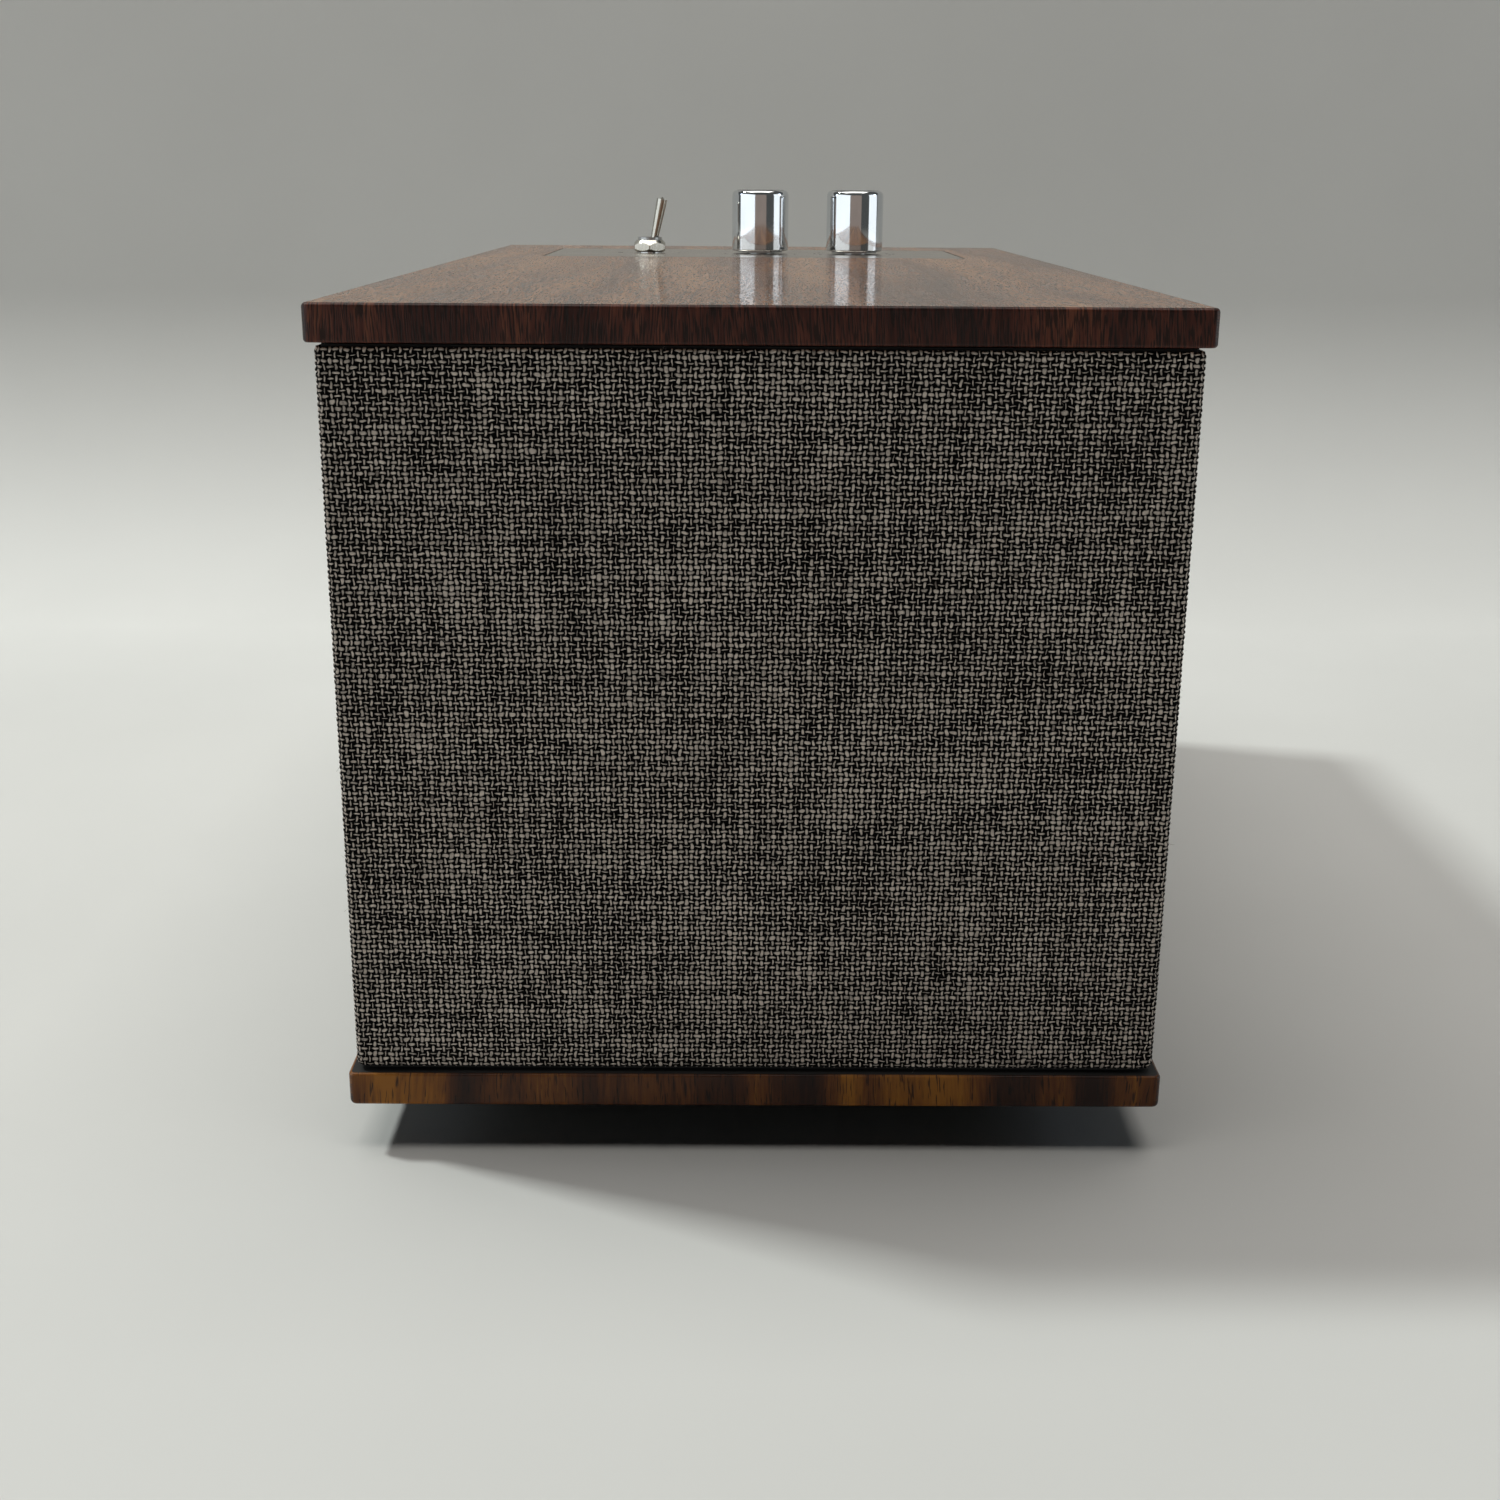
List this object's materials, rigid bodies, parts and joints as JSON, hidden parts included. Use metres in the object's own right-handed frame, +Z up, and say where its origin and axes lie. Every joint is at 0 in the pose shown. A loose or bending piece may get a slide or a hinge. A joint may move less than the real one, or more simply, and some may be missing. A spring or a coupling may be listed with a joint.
{
  "type": "tabletop radio",
  "caption": "Cloth-wrapped tabletop radio with walnut slabs above and below, and two knobs and a toggle switch on a metal plate let into the top.",
  "frame": {"origin": "centre of the outline at the plane the feet stand on", "axes": "+Z up, +X along the length towards the end with the controls, -Y towards the front (the loudspeaker side)"},
  "size_m": [0.265, 0.14, 0.1593],
  "materials": {
    "walnut": "satin lacquered walnut veneer",
    "fibreboard": "raw wood fibreboard",
    "cloth": "heathered plain weave",
    "foam": "black closed-cell foam",
    "rubber": "black moulded rubber",
    "black_plastic": "fine moulded texture",
    "chrome": "polished",
    "steel": "zinc plated",
    "plate": "brushed",
    "aluminium": "plain",
    "brass": "plain",
    "ferrite": "sintered",
    "pulp": "pressed pulp",
    "circuit_board": "solder mask",
    "cable_jacket": "plain",
    "ribbon_grey": "plain"
  },
  "bodies": {
    "radio": {"top_slab": "walnut", "bottom_slab": "walnut", "front_baffle": "fibreboard", "rear_wall": "fibreboard", "left_side_panel": "fibreboard", "right_side_panel": "fibreboard", "cloth_sleeve": "cloth", "top_gasket": "foam", "bottom_gasket": "foam", "control_plate": "plate", "toggle_body": "steel", "volume_rotary_body": "steel", "tuning_rotary_body": "steel", "volume_nut": "steel", "tuning_nut": "steel", "left_driver_basket": "steel", "right_driver_basket": "steel", "cup_screw_upper_left": "steel", "cup_screw_upper_right": "steel", "cup_screw_lower_left": "steel", "cup_screw_lower_right": "steel", "foot_screw_front_left": "steel", "foot_screw_front_right": "steel", "foot_screw_rear_left": "steel", "foot_screw_rear_right": "steel", "toggle_nut": "chrome", "control_spacer_front": "brass", "control_spacer_rear": "brass", "control_board": "circuit_board", "main_board": "circuit_board", "left_driver_magnet": "ferrite", "right_driver_magnet": "ferrite", "left_driver_surround": "rubber", "right_driver_surround": "rubber", "foot_front_left": "rubber", "foot_front_right": "rubber", "foot_rear_left": "rubber", "foot_rear_right": "rubber", "board_rail_front": "black_plastic", "board_rail_rear": "black_plastic", "supply_capacitor_left": "black_plastic", "supply_capacitor_right": "black_plastic", "connector_cup": "black_plastic", "power_jack": "black_plastic", "aux_jack": "black_plastic", "tuner_can": "aluminium", "amplifier_heatsink": "aluminium", "antenna_socket": "aluminium", "ribbon_cable": "ribbon_grey", "left_speaker_lead": "cable_jacket", "right_speaker_lead": "cable_jacket", "antenna_lead": "cable_jacket"},
    "toggle_arm": {"toggle_lever": "chrome"},
    "volume_spindle": {"volume_knob": "chrome", "volume_shaft": "brass"},
    "tuning_spindle": {"tuning_knob": "chrome", "tuning_shaft": "brass"},
    "left_cone": {"left_driver_cone": "pulp"},
    "right_cone": {"right_driver_cone": "pulp"}
  },
  "joints": [
    {"name": "toggle_throw", "type": "hinge", "parent": "radio", "child": "toggle_arm", "pos_m": [0.0791, 0.02695, 0.1415], "axis": [-1, 0, 0], "range_deg": [0, 24]},
    {"name": "volume_turn", "type": "hinge", "parent": "radio", "child": "volume_spindle", "pos_m": [0.0791, -0.0262, 0.1435], "axis": [0, 0, 1], "range_deg": [-150, 150]},
    {"name": "tuning_turn", "type": "hinge", "parent": "radio", "child": "tuning_spindle", "pos_m": [0.0791, -0.0017, 0.1435], "axis": [0, 0, 1], "continuous": true},
    {"name": "left_cone_travel", "type": "slide", "parent": "radio", "child": "left_cone", "axis": [0, 1, 0], "range_m": [-0.002, 0.002], "stiffness_N_per_m": 1500},
    {"name": "right_cone_travel", "type": "slide", "parent": "radio", "child": "right_cone", "axis": [0, 1, 0], "range_m": [-0.002, 0.002], "stiffness_N_per_m": 1500}
  ]
}
